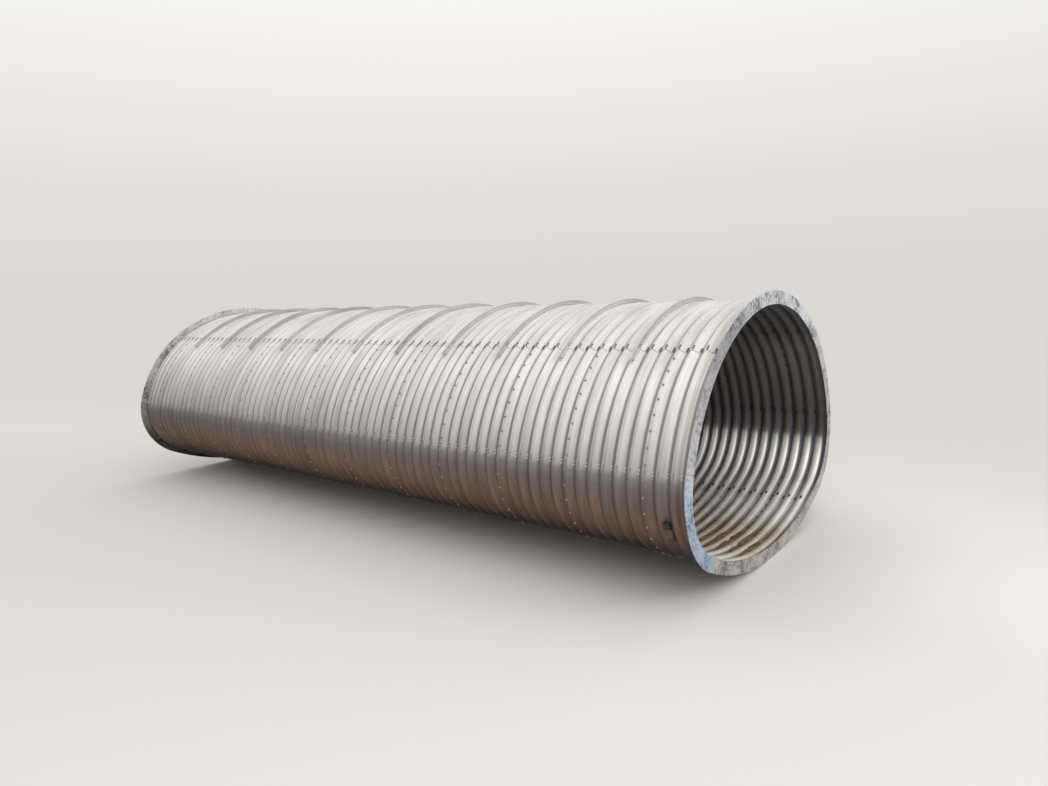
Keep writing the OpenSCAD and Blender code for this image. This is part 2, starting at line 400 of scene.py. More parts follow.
# %% Dust on the floor inside
def floor_dust(tree, place, apart, broken, under):
    """It takes the same things as the mud, and lies where the ragged height is under 0.8 metres."""
    scuffs = add(tree, "ShaderNodeTexNoise", {"Vector": place, "Scale": cells(200), "Detail": 8.0,
                                              "Roughness": 0.7})
    patchy = add(tree, "ShaderNodeMapRange", {"Value": scuffs, "From Min": 0.35, "From Max": 0.65,
                                              "To Min": 0.7, "To Max": 1.15})
    low = add(tree, "ShaderNodeMapRange", {"Value": broken, "From Min": 0.80, "From Max": 0.50})
    lies = add(tree, "ShaderNodeMath", {0: low, 1: patchy}, operation="MULTIPLY")
    end = add(tree, "ShaderNodeMath", {0: apart.outputs["Y"]}, operation="ABSOLUTE")
    inside = add(tree, "ShaderNodeMapRange", {"Value": end, "From Min": HALF_LENGTH - 0.2,
                                              "From Max": HALF_LENGTH - 2.3, "To Min": 0.2, "To Max": 0.85})
    grey = add(tree, "ShaderNodeMath", {0: inside, 1: lies}, operation="MULTIPLY")
    dusty = add(tree, "ShaderNodeMix", {"Factor": grey, UNDER: under, OVER: linear("#9c968c")}, **TINT)
    side = add(tree, "ShaderNodeMath", {0: apart.outputs["X"]}, operation="ABSOLUTE")
    middle = add(tree, "ShaderNodeMapRange", {"Value": side, "From Min": 1.3, "From Max": 0.6})
    mouth = add(tree, "ShaderNodeMapRange", {"Value": apart.outputs["Y"], "From Min": 1.9 - HALF_LENGTH,
                                             "From Max": 1.2 - HALF_LENGTH, "To Max": 0.75})
    soiled = add(tree, "ShaderNodeMath", {0: middle, 1: mouth}, operation="MULTIPLY")
    tan = add(tree, "ShaderNodeMath", {0: soiled, 1: lies}, operation="MULTIPLY")
    sandy = add(tree, "ShaderNodeMix", {"Factor": tan, UNDER: dusty.outputs[MIXED], OVER: linear("#cdb9a2")},
                **TINT)
    return sandy.outputs[MIXED]


print("scuffs to the metre:", cells(200))

# %% [markdown]
# The colours go by height, from the ground up to the top of the crown. Outside, the sheet is pale above
# and brown below the widest place and nearly black near the ground: painted shade and a painted
# reflection of brown ground. Inside, the floor's pale colour is painted light, and the dark colour of the
# walls and the crown is painted shade. The ribs are extruded aluminium: a plain silver with the same
# fine streaks.

# %% Colours of the plates and ribs
OUTSIDE_RIDGES = [
    (0.0, "#1e1c1c"), (0.90, "#332e2c"), (1.22, "#5e504a"), (1.57, "#70625d"), (1.83, "#716867"),
    (1.99, "#7f7a79"), (2.10, "#a7a39f"), (2.42, "#bbb8b3"), (2.90, "#d2cfca"), (3.40, "#eae6e2"),
    (3.87, "#e9e6e2"), (TOP, "#e2e0dc")]
OUTSIDE_GROOVES = [
    (0.0, "#1c1a1a"), (0.90, "#302b29"), (1.22, "#594b45"), (1.57, "#6c5e59"), (1.83, "#6e6363"),
    (1.99, "#767170"), (2.10, "#827e7a"), (2.62, "#918e8a"), (3.15, "#a4a09c"), (3.65, "#aba7a2"),
    (3.90, "#bfbbb7"), (TOP, "#cac7c3")]
INSIDE_RIDGES = [
    (0.0, "#f4f0ea"), (0.78, "#f6f2ec"), (0.98, "#fffdf8"), (1.22, "#f8f5ee"), (1.41, "#dfddd7"),
    (1.53, "#bfbdb8"), (1.62, "#726d69"), (1.71, "#524c47"), (1.85, "#4a4540"), (2.4, "#4c4742"),
    (3.0, "#5a544f"), (3.6, "#5a5552"), (3.9, "#4a4543"), (TOP, "#35363b")]
INSIDE_GROOVES = [
    (0.0, "#77736c"), (0.2, "#8c8983"), (0.40, "#c8c5be"), (0.62, "#8e8c89"), (0.8, "#66666a"),
    (1.3, "#5a5b62"), (1.5, "#46474d"), (1.7, "#464650"), (2.6, "#555356"), (3.4, "#605d5c"),
    (3.9, "#403e3e"), (TOP, "#2b2c31")]
RIB_SILVER = [(0.0, "#d6d4d1"), (TOP, "#d6d4d1")]
# both plates carry painted shade in their grooves and in their colours by height, the inside also painted
# light on its floor
plate_metal = mill_aluminium("aluminium_outside_with_painted_shade", 0.52, 0.5, OUTSIDE_RIDGES, OUTSIDE_GROOVES,
                             groove=(-0.45, -0.95), shift=0.06, drift=0.064, ragged=0.07, film=mud_splashes)
inner_metal = mill_aluminium("aluminium_inside_with_painted_light_and_shade", 0.50, 0.25, INSIDE_RIDGES, INSIDE_GROOVES,
                             groove=(0.24, 0.74), shift=-0.42, ragged=0.02, film=floor_dust)
rib_metal = mill_aluminium("extruded_aluminium", 0.45, 0.5, RIB_SILVER, RIB_SILVER)
print("plate and rib metals made")

# %% [markdown]
# The bolts are hot-dip galvanised steel. The zinc has gone dull and slightly blotchy, with a spangle of
# about a centimetre, and looks only partly metallic. Each bolt carries its own tone.

# %% Galvanised steel for the bolts
bolt_steel, tree, shader = new_material("galvanised_bolt_steel")
place = add(tree, "ShaderNodeTexCoord").outputs["Object"]
spangle = add(tree, "ShaderNodeTexNoise", {"Vector": place, "Scale": cells(14.28), "Detail": 3.0})
dull = add(tree, "ShaderNodeValToRGB", {0: spangle}, [(0.35, "#c4c0bb"), (0.65, "#ffffff")])
tone = add(tree, "ShaderNodeAttribute", attribute_name="tone")
zinc = add(tree, "ShaderNodeMix", {"Factor": 1.0, UNDER: dull, OVER: tone}, **TINT)
connect(tree, shader, {"Base Color": zinc.outputs[MIXED], "Metallic": 0.3, "Roughness": 0.6})
print("bolt steel made")

# %% [markdown]
# A plate is one outline swept round an arc. The outline is the cut edge of the sheet: bends of one radius
# joined by straight flanks, drawn once along the outer face and back along the inner face. Curve to Mesh
# sweeps it, and that keeps the sheet's thickness even all round.

# %% The wavy outline of a sheet
FLANK = (math.asin(2 * BEND / math.hypot(PITCH / 2, 2 * BEND - DEPTH))
         - math.atan2(2 * BEND - DEPTH, PITCH / 2))
BEND_STEPS = 3    # from a bend's middle to its flank


def wave(first, last, off):
    """Points (y, height) of a face of the sheet between two places; a crest stands at y = 0."""
    points = []
    for k in range(2 * math.floor(first / PITCH), 2 * math.ceil(last / PITCH) + 1):
        side = 1 if k % 2 == 0 else -1
        r = BEND + side * off
        for a in np.linspace(-FLANK, FLANK, 2 * BEND_STEPS + 1):
            points.append((k * PITCH / 2 + r * math.sin(a), side * (DEPTH / 2 - BEND + r * math.cos(a))))
    ys, hs = zip(*points)
    ends = [(y, float(np.interp(y, ys, hs))) for y in (first, last)]
    return [ends[0], *[p for p in points if first < p[0] < last], ends[1]]


def band_outline(i, high, low):
    """Ring i's outline between two levels, as (height, y): out along one and back along the other."""
    outer = [(h, y) for y, h in wave(*sheet_ends(i), high)]
    inner = [(h, y) for y, h in wave(*sheet_ends(i), low)]
    return outer + inner[::-1]


print("points round a sheet of one ring:", len(band_outline(2, 0.0, -SHEET)))

# %% [markdown]
# Every geometry tree here has named inputs and ends the same way: edges sharper than 35 degrees stay
# crisp, so the bends look rolled and the cut edges look cut, the copies become real faces, and the
# faces get their material. A sheet has a second one for its inner face.

# %% Beginning and end of a geometry tree
CRISP_ANGLE = math.radians(35)
INWARD = 0.3    # an outer face scores the arc's radius in metres, a cut edge nothing, an inner face less


def new_geometry_tree(name, inputs):
    tree = bpy.data.node_groups.new(name, "GeometryNodeTree")
    tree.interface.new_socket("Geometry", in_out="INPUT", socket_type="NodeSocketGeometry")
    for socket_name, kind in inputs:
        tree.interface.new_socket(socket_name, in_out="INPUT", socket_type=kind)
    tree.interface.new_socket("Geometry", in_out="OUTPUT", socket_type="NodeSocketGeometry")
    return tree, add(tree, "NodeGroupInput").outputs


def finish_tree(tree, geometry, material, centre=None, inner_material=None):
    """With a centre, the faces that look towards it, and the cut edges, get the inner material."""
    smooth = add(tree, "GeometryNodeSetShadeSmooth", {"Geometry": geometry})
    angle = add(tree, "GeometryNodeInputMeshEdgeAngle")
    crisp = add(tree, "FunctionNodeCompare", {0: angle, 1: CRISP_ANGLE}, operation="GREATER_THAN")
    sharp = add(tree, "GeometryNodeSetShadeSmooth",
                {"Geometry": smooth, "Selection": crisp, "Shade Smooth": False}, domain="EDGE")
    real = add(tree, "GeometryNodeRealizeInstances", {0: sharp})
    dressed = add(tree, "GeometryNodeSetMaterial", {"Geometry": real, "Material": material})
    if centre is not None:
        place = add(tree, "GeometryNodeInputPosition")
        normal = add(tree, "GeometryNodeInputNormal")
        ray = add(tree, "ShaderNodeVectorMath", {0: place, 1: centre}, operation="SUBTRACT")
        # the way along the barrel is left out, and with it the slope of the corrugation
        flat = add(tree, "ShaderNodeVectorMath", {0: ray, 1: (1, 0, 1)}, operation="MULTIPLY")
        facing = add(tree, "ShaderNodeVectorMath", {0: flat, 1: normal}, operation="DOT_PRODUCT")
        inward = add(tree, "FunctionNodeCompare", {0: facing.outputs["Value"], 1: INWARD},
                     operation="LESS_THAN")
        dressed = add(tree, "GeometryNodeSetMaterial",
                      {"Geometry": dressed, "Selection": inward, "Material": inner_material})
    add(tree, "NodeGroupOutput", {0: dressed})


print(f"edges stay crisp above {math.degrees(CRISP_ANGLE):.0f} degrees")

# %% [markdown]
# The arc is drawn flat, the outline is swept along it, and the result is then stood upright, because
# the section of the barrel stands in the XZ plane. The outline's own X becomes the radius. The swept
# mesh is taken off its tree as a plain mesh, so that it can be copied, moved and joined.

# %% Geometry tree that sweeps an outline round an arc
sweep_tree, given = new_geometry_tree("sweep_round_arc", [
    ("Radius", "NodeSocketFloat"), ("First Angle", "NodeSocketFloat"), ("Turn", "NodeSocketFloat"),
    ("Steps", "NodeSocketInt"), ("Centre", "NodeSocketVector"), ("Material", "NodeSocketMaterial"),
    ("Inner Material", "NodeSocketMaterial")])
outline = add(sweep_tree, "GeometryNodeMeshToCurve", {0: given["Geometry"]})
path = add(sweep_tree, "GeometryNodeCurveArc", {
    "Resolution": given["Steps"], "Radius": given["Radius"], "Start Angle": given["First Angle"],
    "Sweep Angle": given["Turn"]})
level = add(sweep_tree, "GeometryNodeSetCurveNormal", {0: path}, mode="Z_UP")
swept = add(sweep_tree, "GeometryNodeCurveToMesh",
            {"Curve": level, "Profile Curve": outline, "Fill Caps": True})
upright = add(sweep_tree, "GeometryNodeTransform",
              {"Geometry": swept, "Translation": given["Centre"], "Rotation": (math.pi / 2, 0, 0)})
finish_tree(sweep_tree, upright, given["Material"], given["Centre"], given["Inner Material"])


def run_tree(name, source, tree, values):
    """Put the tree on source, set its named inputs, and return the result as a plain mesh."""
    bpy.context.collection.objects.link(source)
    modifier = source.modifiers.new("nodes", "NODES")
    modifier.node_group = tree
    for item in tree.interface.items_tree:
        if item.in_out == "INPUT" and item.name in values:
            modifier[item.identifier] = values[item.name]
    source.update_tag()
    depsgraph = bpy.context.evaluated_depsgraph_get()
    mesh = bpy.data.meshes.new_from_object(source.evaluated_get(depsgraph), depsgraph=depsgraph)
    mesh.name = name
    bpy.data.objects.remove(source)
    return mesh


def swept_mesh(name, points, centre, radius, first, last, steps, material, inner_material=None):
    """Sweep a closed loop of (height, y) points from the first angle to the last."""
    loop = bpy.data.meshes.new(name)
    edges = [(i, (i + 1) % len(points)) for i in range(len(points))]
    loop.from_pydata([(x, y, 0) for x, y in points], edges, [])
    # Blender's arc counts from the X axis and the other way round
    return run_tree(name, bpy.data.objects.new(name, loop), sweep_tree, {
        "Radius": radius, "First Angle": math.pi / 2 - last, "Turn": last - first, "Steps": steps + 1,
        "Centre": tuple(centre), "Material": material, "Inner Material": inner_material or material})


print("sweep tree made:", len(sweep_tree.nodes), "nodes")

# %% [markdown]
# Every piece rides on the barrel's one body. Left-hand plates are mirrored right-hand ones: a mirror
# turns a mesh inside out, so its faces are turned back.


# %% Helpers for pieces
def piece(name, mesh):
    obj = bpy.data.objects.new(name, mesh)
    bpy.context.collection.objects.link(obj)
    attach(obj, "root")
    return obj


def joined(name, meshes):
    """Several meshes with the same materials as one piece."""
    whole = bmesh.new()
    for mesh in meshes:
        whole.from_mesh(mesh)
    result = bpy.data.meshes.new(name)
    whole.to_mesh(result)
    whole.free()
    for material in meshes[0].materials:
        result.materials.append(material)
    return piece(name, result)


def moved(mesh, y):
    mesh.transform(Matrix.Translation((0, y, 0)))
    return mesh


def mirror(mesh):
    mesh.transform(Matrix.Diagonal((-1, 1, 1, 1)))
    mesh.flip_normals()


def triangles(obj):
    return sum(len(polygon.vertices) - 2 for polygon in obj.data.polygons)


# %% [markdown]
# Thirteen rings of plates make the barrel: a crown plate over each side plate, a tighter haunch plate
# at each lower corner, and the shallow invert between them. Rings of one width are alike, so each plate
# is swept once and copied along, with its own faint tone as every coil of sheet has one.

# %% Sweep the plates and lay out the rings
ROUND_STEPS = {"crown": 34, "side": 18, "haunch": 21, "foot": 3, "invert": 26}
random = np.random.default_rng(12)
swept_plates = {}


def give_tone(mesh, low, high, tint):
    """Write one faint random tone on all the points of a mesh, for its material to read."""
    colour = random.uniform(low, high) * (1 + random.uniform(-tint, tint, 3))
    tone = mesh.attributes.new("tone", "FLOAT_COLOR", "POINT")
    tone.data.foreach_set("color", np.tile([*colour, 1.0], len(mesh.vertices)))


def sweep_plate(kind, i):
    arc = ARCS[kind]
    first, last = (end + way * LAP / 2 / arc.radius
                   for end, way in ((arc.first, -arc.laps[0]), (arc.last, arc.laps[1])))
    return swept_mesh(f"{kind}_{i}", band_outline(i, arc.face, arc.face - SHEET), arc.centre, arc.radius,
                      first, last, ROUND_STEPS[kind], plate_metal, inner_metal)


def plate_copy(kind, i, mirrored=False):
    """One plate moved to its ring, with its tone written on its points."""
    pattern = i if i in (1, RINGS) else 2
    if (kind, pattern) not in swept_plates:
        swept_plates[kind, pattern] = sweep_plate(kind, pattern)
    mesh = moved(swept_plates[kind, pattern].copy(), ring_start(i))
    if mirrored:
        mirror(mesh)
    give_tone(mesh, 0.95, 1.0, 0.008)
    return mesh


total = 0
for i in range(1, RINGS + 1):
    crown = piece(f"crown_sheet_{i:02d}", plate_copy("crown", i))
    walls = joined(f"side_sheets_{i:02d}", [
        plate_copy(kind, i, mirrored) for kind in ("side", "haunch", "foot") for mirrored in (False, True)])
    invert = piece(f"invert_sheet_{i:02d}", plate_copy("invert", i))
    for obj, node in ((crown, "crown_plate"), (walls, "side_plates"), (invert, "invert_plate")):
        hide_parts(f"{node}_{i:02d}")
        total += triangles(obj)
print("plates made:", 3 * RINGS, "pieces,", total, "triangles")

# %% [markdown]
# A painted shadow lies under the lower edge of the crown plates: a dark line that follows the wave. It is
# matt and nearly black, a thin bead on the side plates, swept like them, that starts just under the
# crown plates' edge.

# %% Painted shadow under the crown's laps
# this nearly black matt colour paints the shadow under the laps
painted_lap_shadow, tree, shader = new_material("painted_lap_shadow")
connect(tree, shader, {"Base Color": linear("#2f2d2c"), "Roughness": 0.9})
BEAD_WIDTH, BEAD_HEIGHT, BEAD_SEAT, BEAD_TUCK = 0.010, 0.004, 0.0002, 0.001
EDGE = A_CROWN + (LAP / 2 - BEAD_TUCK) / R_CROWN
beads = []
for i in range(1, RINGS + 1):
    bead = band_outline(i, SIDE_FACE + BEAD_HEIGHT, SIDE_FACE + BEAD_SEAT)
    mesh = swept_mesh(f"bead_{i}", bead, C_SIDE, R_SIDE, EDGE, EDGE + BEAD_WIDTH / R_SIDE, 1, painted_lap_shadow)
    other = moved(mesh, ring_start(i)).copy()
    mirror(other)
    beads += [mesh, other]
joined("painted_shadow_under_laps", beads)
print("beads of grime:", len(beads))

# %% [markdown]
# Low on the first ring a little flap closes a drain hole in one valley. A hood of moulded black rubber,
# matt with a trace of blue, holds a flap of tin that has weathered to brown blotches a few centimetres
# wide; the hood's black also stands for painted shade in the opening above the flap. A black strip of
# the same colour under the flap is a painted shadow. Each is a curved slab that lies across the valley
# from crest to crest.

# %% Drain flap
rubber_and_shadow, tree, shader = new_material("black_rubber_and_painted_shadow")
connect(tree, shader, {"Base Color": linear("#1d2026"), "Roughness": 0.6})
tin, tree, shader = new_material("weathered_tin")
place = add(tree, "ShaderNodeTexCoord").outputs["Object"]
blotches = add(tree, "ShaderNodeTexNoise", {"Vector": place, "Scale": cells(71.4), "Detail": 6.0})
colour = add(tree, "ShaderNodeValToRGB", {0: blotches}, [(0.35, "#3f3733"), (0.65, "#584e47")])
connect(tree, shader, {"Base Color": colour, "Roughness": 0.7})
FLAP_Y = -PLATES_LENGTH / 2 + 1.5 * PITCH + 0.02
ON_CREST = DEPTH / 2 + HAUNCH_FACE + 0.0006
# name, half width, lowest and highest level, first and last angle in degrees, material
DRAIN_PARTS = (("drain_hood", 0.054, -0.012, ON_CREST + 0.010, 109.5, 114.5, rubber_and_shadow),
               ("drain_flap", 0.062, -0.004, ON_CREST + 0.004, 114.0, 124.0, tin),
               # this last slab is a painted shadow under the flap
               ("drain_flap_shadow_strip", 0.056, -0.006, ON_CREST + 0.002, 123.6, 125.6, rubber_and_shadow))
for name, half, low, high, first, last, material in DRAIN_PARTS:
    slab = [(low, -half), (high, -half), (high, half), (low, half)]
    mesh = swept_mesh(name, slab, C_HAUNCH, R_HAUNCH, math.radians(first), math.radians(last), 5, material)
    mirror(moved(mesh, FLAP_Y))
    piece(name, mesh)
print("drain flap made:", len(DRAIN_PARTS), "pieces")

# %% [markdown]
# Eleven ribs stiffen the crown. Each is an extruded bulb section rolled to the crown's radius, bolted by
# its foot onto the crest in the middle of a ring. It is the same sweep with another outline.

# %% Crown ribs
RIB_FOOT, RIB_HEIGHT, RIB_WEB, RIB_BULB = 0.060, 0.084, 0.009, 0.026
RIB_ROUNDING, RIB_FILLET, RIB_SLOPE = 0.006, 0.004, 0.001
RIB_END, RIB_STEPS = math.radians(42), 42
FOOT_Z = DEPTH / 2 + CROWN_FACE + SEAT


def rib_y(i):
    return ring_start(i + 1) + RING_PITCHES * PITCH / 2


def rib_outline(foot_z):
    """The bulb section, drawn from the foot up: each corner is (height, across)."""
    half_foot, half_web, r = RIB_FOOT / 2, RIB_WEB / 2, RIB_BULB / 2
    neck = math.asin(half_web / r)
    top = RIB_HEIGHT - r
    bulb = [(top - r * math.cos(a), r * math.sin(a)) for a in np.linspace(neck, 2 * math.pi - neck, 15)]
    half = [(0, -half_foot), (0, half_foot), (RIB_WEB * 0.6, half_foot), (RIB_WEB, half_foot - RIB_ROUNDING),
            (RIB_WEB + RIB_SLOPE, half_web + RIB_FILLET), (RIB_WEB + RIB_ROUNDING, half_web)]
    other = [(h, -w) for h, w in half[:1:-1]]
    return [(foot_z + h, w) for h, w in half + bulb + other]


ribs = []
for i in range(1, RINGS - 1):
    mesh = swept_mesh(f"rib_{i}", rib_outline(FOOT_Z), C_CROWN, R_CROWN, -RIB_END, RIB_END, RIB_STEPS,
                      rib_metal)
    give_tone(moved(mesh, rib_y(i)), 0.95, 1.0, 0.004)
    ribs.append(mesh)
ribs = joined("ribs", ribs)
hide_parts("crown_ribs")
print("ribs made:", triangles(ribs), "triangles")

# %% [markdown]
# Three quarter inch bolts hold it all: one row on the crest between two rings of plates, and one to
# every crest and every valley along each lap. They repeat thousands of times, so one light bolt is made
# of primitives inside a geometry tree, and the tree stands a copy on every point, turned to the point's
# outward direction. A point also carries a tone, because some bolts are cleaner than others.


# %% Geometry tree that stands a bolt on every point
def bolt_tree(name, parts):
    """parts: (corners, radius, height, lift) of the cylinders that make one bolt, from its seat up."""
    tree, given = new_geometry_tree(name, [("Material", "NodeSocketMaterial"), ("Seed", "NodeSocketInt")])
    bolt = add(tree, "GeometryNodeJoinGeometry")
    for corners, radius, tall, lift in parts:
        body = add(tree, "GeometryNodeMeshCylinder", {"Vertices": corners, "Radius": radius, "Depth": tall})
        middle = (0, 0, lift + tall / 2)
        raised = add(tree, "GeometryNodeTransform", {"Geometry": body, "Translation": middle})
        connect(tree, bolt, {0: raised})
    out = add(tree, "GeometryNodeInputNamedAttribute", {"Name": "out"}, data_type="FLOAT_VECTOR")
    stand = add(tree, "FunctionNodeAlignRotationToVector", {"Vector": out}, axis="Z")
    spin = add(tree, "FunctionNodeRandomValue", {2: 0.0, 3: 2 * math.pi, "Seed": given["Seed"]},
               data_type="FLOAT")
    turn = add(tree, "ShaderNodeCombineXYZ", {"Z": spin.outputs[1]})
    local = add(tree, "FunctionNodeRotateRotation", {"Rotation": stand, "Rotate By": turn},
                rotation_space="LOCAL")
    points = add(tree, "GeometryNodeMeshToPoints", {0: given["Geometry"]})
    bolts = add(tree, "GeometryNodeInstanceOnPoints", {"Points": points, "Instance": bolt, "Rotation": local})
    finish_tree(tree, bolts, given["Material"])
    return tree


nut_tree = bolt_tree("nut_and_end", [(6, 0.0175, 0.016, 0.0), (6, 0.0095, 0.009, 0.016)])
flush_tree = bolt_tree("flush_head", [(8, 0.0160, 0.004, 0.0)])
head_tree = bolt_tree("round_head", [(8, 0.0195, 0.012, 0.0)])


def stand_bolts(name, seats, tree, material, seed=3):
    """seats: (point, outward direction, tone) in the barrel's frame."""
    points, outs, tones = zip(*seats)
    mesh = bpy.data.meshes.new(name)
    mesh.from_pydata([tuple(point) for point in points], [], [])
    out = mesh.attributes.new("out", "FLOAT_VECTOR", "POINT")
    out.data.foreach_set("vector", np.array([tuple(d) for d in outs], np.float32).ravel())
    tone = mesh.attributes.new("tone", "FLOAT_COLOR", "POINT")
    tone.data.foreach_set("color", np.array([linear(t) for t in tones], np.float32).ravel())
    source = bpy.data.objects.new(name, mesh)
    result = piece(name, run_tree(name, source, tree, {"Material": material, "Seed": seed}))
    print(name, len(seats), "bolts,", triangles(result), "triangles")


# %% [markdown]
# The ring seams run on the crests, with a bolt about every 25 centimetres; on the crown they have low
# flush heads outside. Rain keeps the crown's bolts pale, the side's have weathered brown, and those on
# the haunch carry a painted highlight as a pale tone; lower down they are grey. Inside, every bolt shows
# a round head that is dark with grime.

# %% Seats of the bolts along the ring seams
LIFT = 0.0005
SEAM_APART = 0.247
SIDE_FIRST, SIDE_APART = math.radians(40.9), 0.2465
GREY_BELOW = math.radians(128)
# the haunch's pale bolt tone is a painted highlight
CLEAN, BROWN, PAINTED_GLINT, GREY, DARK = "#e4e1dd", "#9b9188", "#aaa39d", "#85807a", "#34322f"
TONES = {"crown": CLEAN, "side": BROWN, "haunch": PAINTED_GLINT, "foot": GREY, "invert": GREY}
nuts, flush, heads = [], [], []


def row_angles(kind, apart):
    """Angles of one row of bolts that are spread evenly over an arc."""
    arc = ARCS[kind]
    count = round((arc.last - arc.first) * arc.radius / apart)
    return [arc.first + (arc.last - arc.first) * (k + 0.5) / count for k in range(count)]


def seat_pair(kind, angle, y, off, side, sheets, tone, rows=nuts):
    """A nut outside and a head inside, on one sheet or through a lap of two."""
    face = ARCS[kind].face
    outside, out = on_arc(kind, angle, off + face + LIFT, y, side)
    rows.append((outside, out, tone))
    inside, _ = on_arc(kind, angle, off + face - sheets * SHEET - LIFT, y, side)
    heads.append((inside, -out, DARK))


valley, crest = -DEPTH / 2, DEPTH / 2
for i in range(2, RINGS + 1):
    for kind in ARCS:
        rows = flush if kind == "crown" else nuts
        for k, angle in enumerate(row_angles(kind, SEAM_APART)):
            if kind == "side":
                angle = SIDE_FIRST + k * SIDE_APART / R_SIDE
            tone = GREY if angle > GREY_BELOW else TONES[kind]
            for side in sides(kind):
                seat_pair(kind, angle, ring_start(i), crest, side, 1, tone, rows)
print("bolts on the ring seams:", len(heads))

# %% [markdown]
# Along a lap every crest and every valley takes a pair of bolts, 5 centimetres apart, one on each side
# of the lap's middle. Those on the haunch lap are the palest of the lower ones, most of all in the
# valleys: their pale tone there is a painted highlight.

# %% Seats of the bolts along the laps
ROW_OFF = 0.0254
PITCHES = round(PLATES_LENGTH / PITCH)
# kind of the upper arc, angle of the lap, tone on the crests and in the valleys
LAPS = (("crown", A_CROWN, BROWN, GREY),
        # the pale valley tone on the haunch lap is a painted highlight
        ("haunch", A_SIDE, "#a8a39e", "#d2d0cd"),
        ("foot", A_FOOT, GREY, GREY))
for kind, angle, high_tone, low_tone in LAPS:
    for k in range(PITCHES):
        y = -PLATES_LENGTH / 2 + k * PITCH
        for side in (1, -1):
            for row in (1, -1):
                turn = angle + row * ROW_OFF / ARCS[kind].radius
                if k:
                    seat_pair(kind, turn, y, crest, side, 2, high_tone)
                seat_pair(kind, turn, y + PITCH / 2, valley, side, 2, low_tone)
stand_bolts("nuts_outside", nuts, nut_tree, bolt_steel)
stand_bolts("flush_heads_outside", flush, flush_tree, bolt_steel)
stand_bolts("heads_inside", heads, head_tree, bolt_steel)

# %% [markdown]
# A rib's foot is held by a bolt about every 60 centimetres, now on one side of its web and now on the
# other, with one on each side at its very ends.

# %% Bolts of the ribs
RIB_BOLTS, WEB_TO_BOLT = 9, 0.018
LAST_BOLT = RIB_END - 0.012    # angle of the bolts at a rib's ends
seats = []
for i in range(1, RINGS - 1):
    for k, angle in enumerate(np.linspace(-LAST_BOLT, LAST_BOLT, RIB_BOLTS)):
        at_end = k in (0, RIB_BOLTS - 1)
        for way in ((-1, 1) if at_end else ((-1) ** k,)):
            point, out = on_arc("crown", angle, FOOT_Z + RIB_WEB * 0.9, rib_y(i) + way * WEB_TO_BOLT)
            seats.append((point, out, GREY if at_end else CLEAN))
stand_bolts("rib_bolts", seats, flush_tree, bolt_steel)

# %% [markdown]
# The end rings are rolled angles in seven pieces, and their solids stay the CAD model's own. Only the
# nuts that hold each leg to the last crest are added, one to every 24 centimetres.

# %% Nuts on the legs of the end rings
LEG_APART = 0.244
seats = []
for end in (-1, 1):
    for kind in ARCS:
        off = DEPTH / 2 + ARCS[kind].face + SEAT + RING_PLATE + LIFT
        for angle in row_angles(kind, LEG_APART):
            for side in sides(kind):
                seats.append((*on_arc(kind, angle, off, end * PLATES_LENGTH / 2, side), TONES[kind]))
stand_bolts("ring_nuts", seats, nut_tree, bolt_steel)

# %% [markdown]
# Muddy soil has run into the valleys of the invert just inside the near end and settled there, so each
# patch is a long lens: widest in the middle and pointed where the valley rises out of it. Its top is
# nearly level and slightly lumpy, and it is as wide as the valley is at that height.

# %% How wide a valley of the invert is
INNER_FACE = INVERT_FACE - SHEET - 0.0006
THINNEST = 0.0005


def sheet_height(y, face):
    """Level of a face of the sheet off the middle of the corrugation, y from a crest's middle. An
    outer crest of the invert points down, so from inside it is a valley."""
    ys, hs = zip(*wave(0, PITCH / 2, face))
    return float(np.interp(abs(y), ys, hs))


widths = np.linspace(0, PITCH / 2, 60)
climbs = np.array([-sheet_height(w, INNER_FACE) for w in widths])


def half_width(x, z):
    """Half the width of a valley at a point over it."""
    above = R_INVERT - math.hypot(x, C_INVERT.z - z)
    return max(float(np.interp(above, climbs, widths)) if above > climbs[0] else 0.0, THINNEST)


print(f"a valley is {climbs[-1] - climbs[0]:.3f} m deep inside")

# %% [markdown]
# Six patches lie in the first six valleys, each between its own left and right end. A patch is a closed
# sliver: one row of points on its top and one on the sheet below, all the way along. Two of them are
# trodden down in one place.

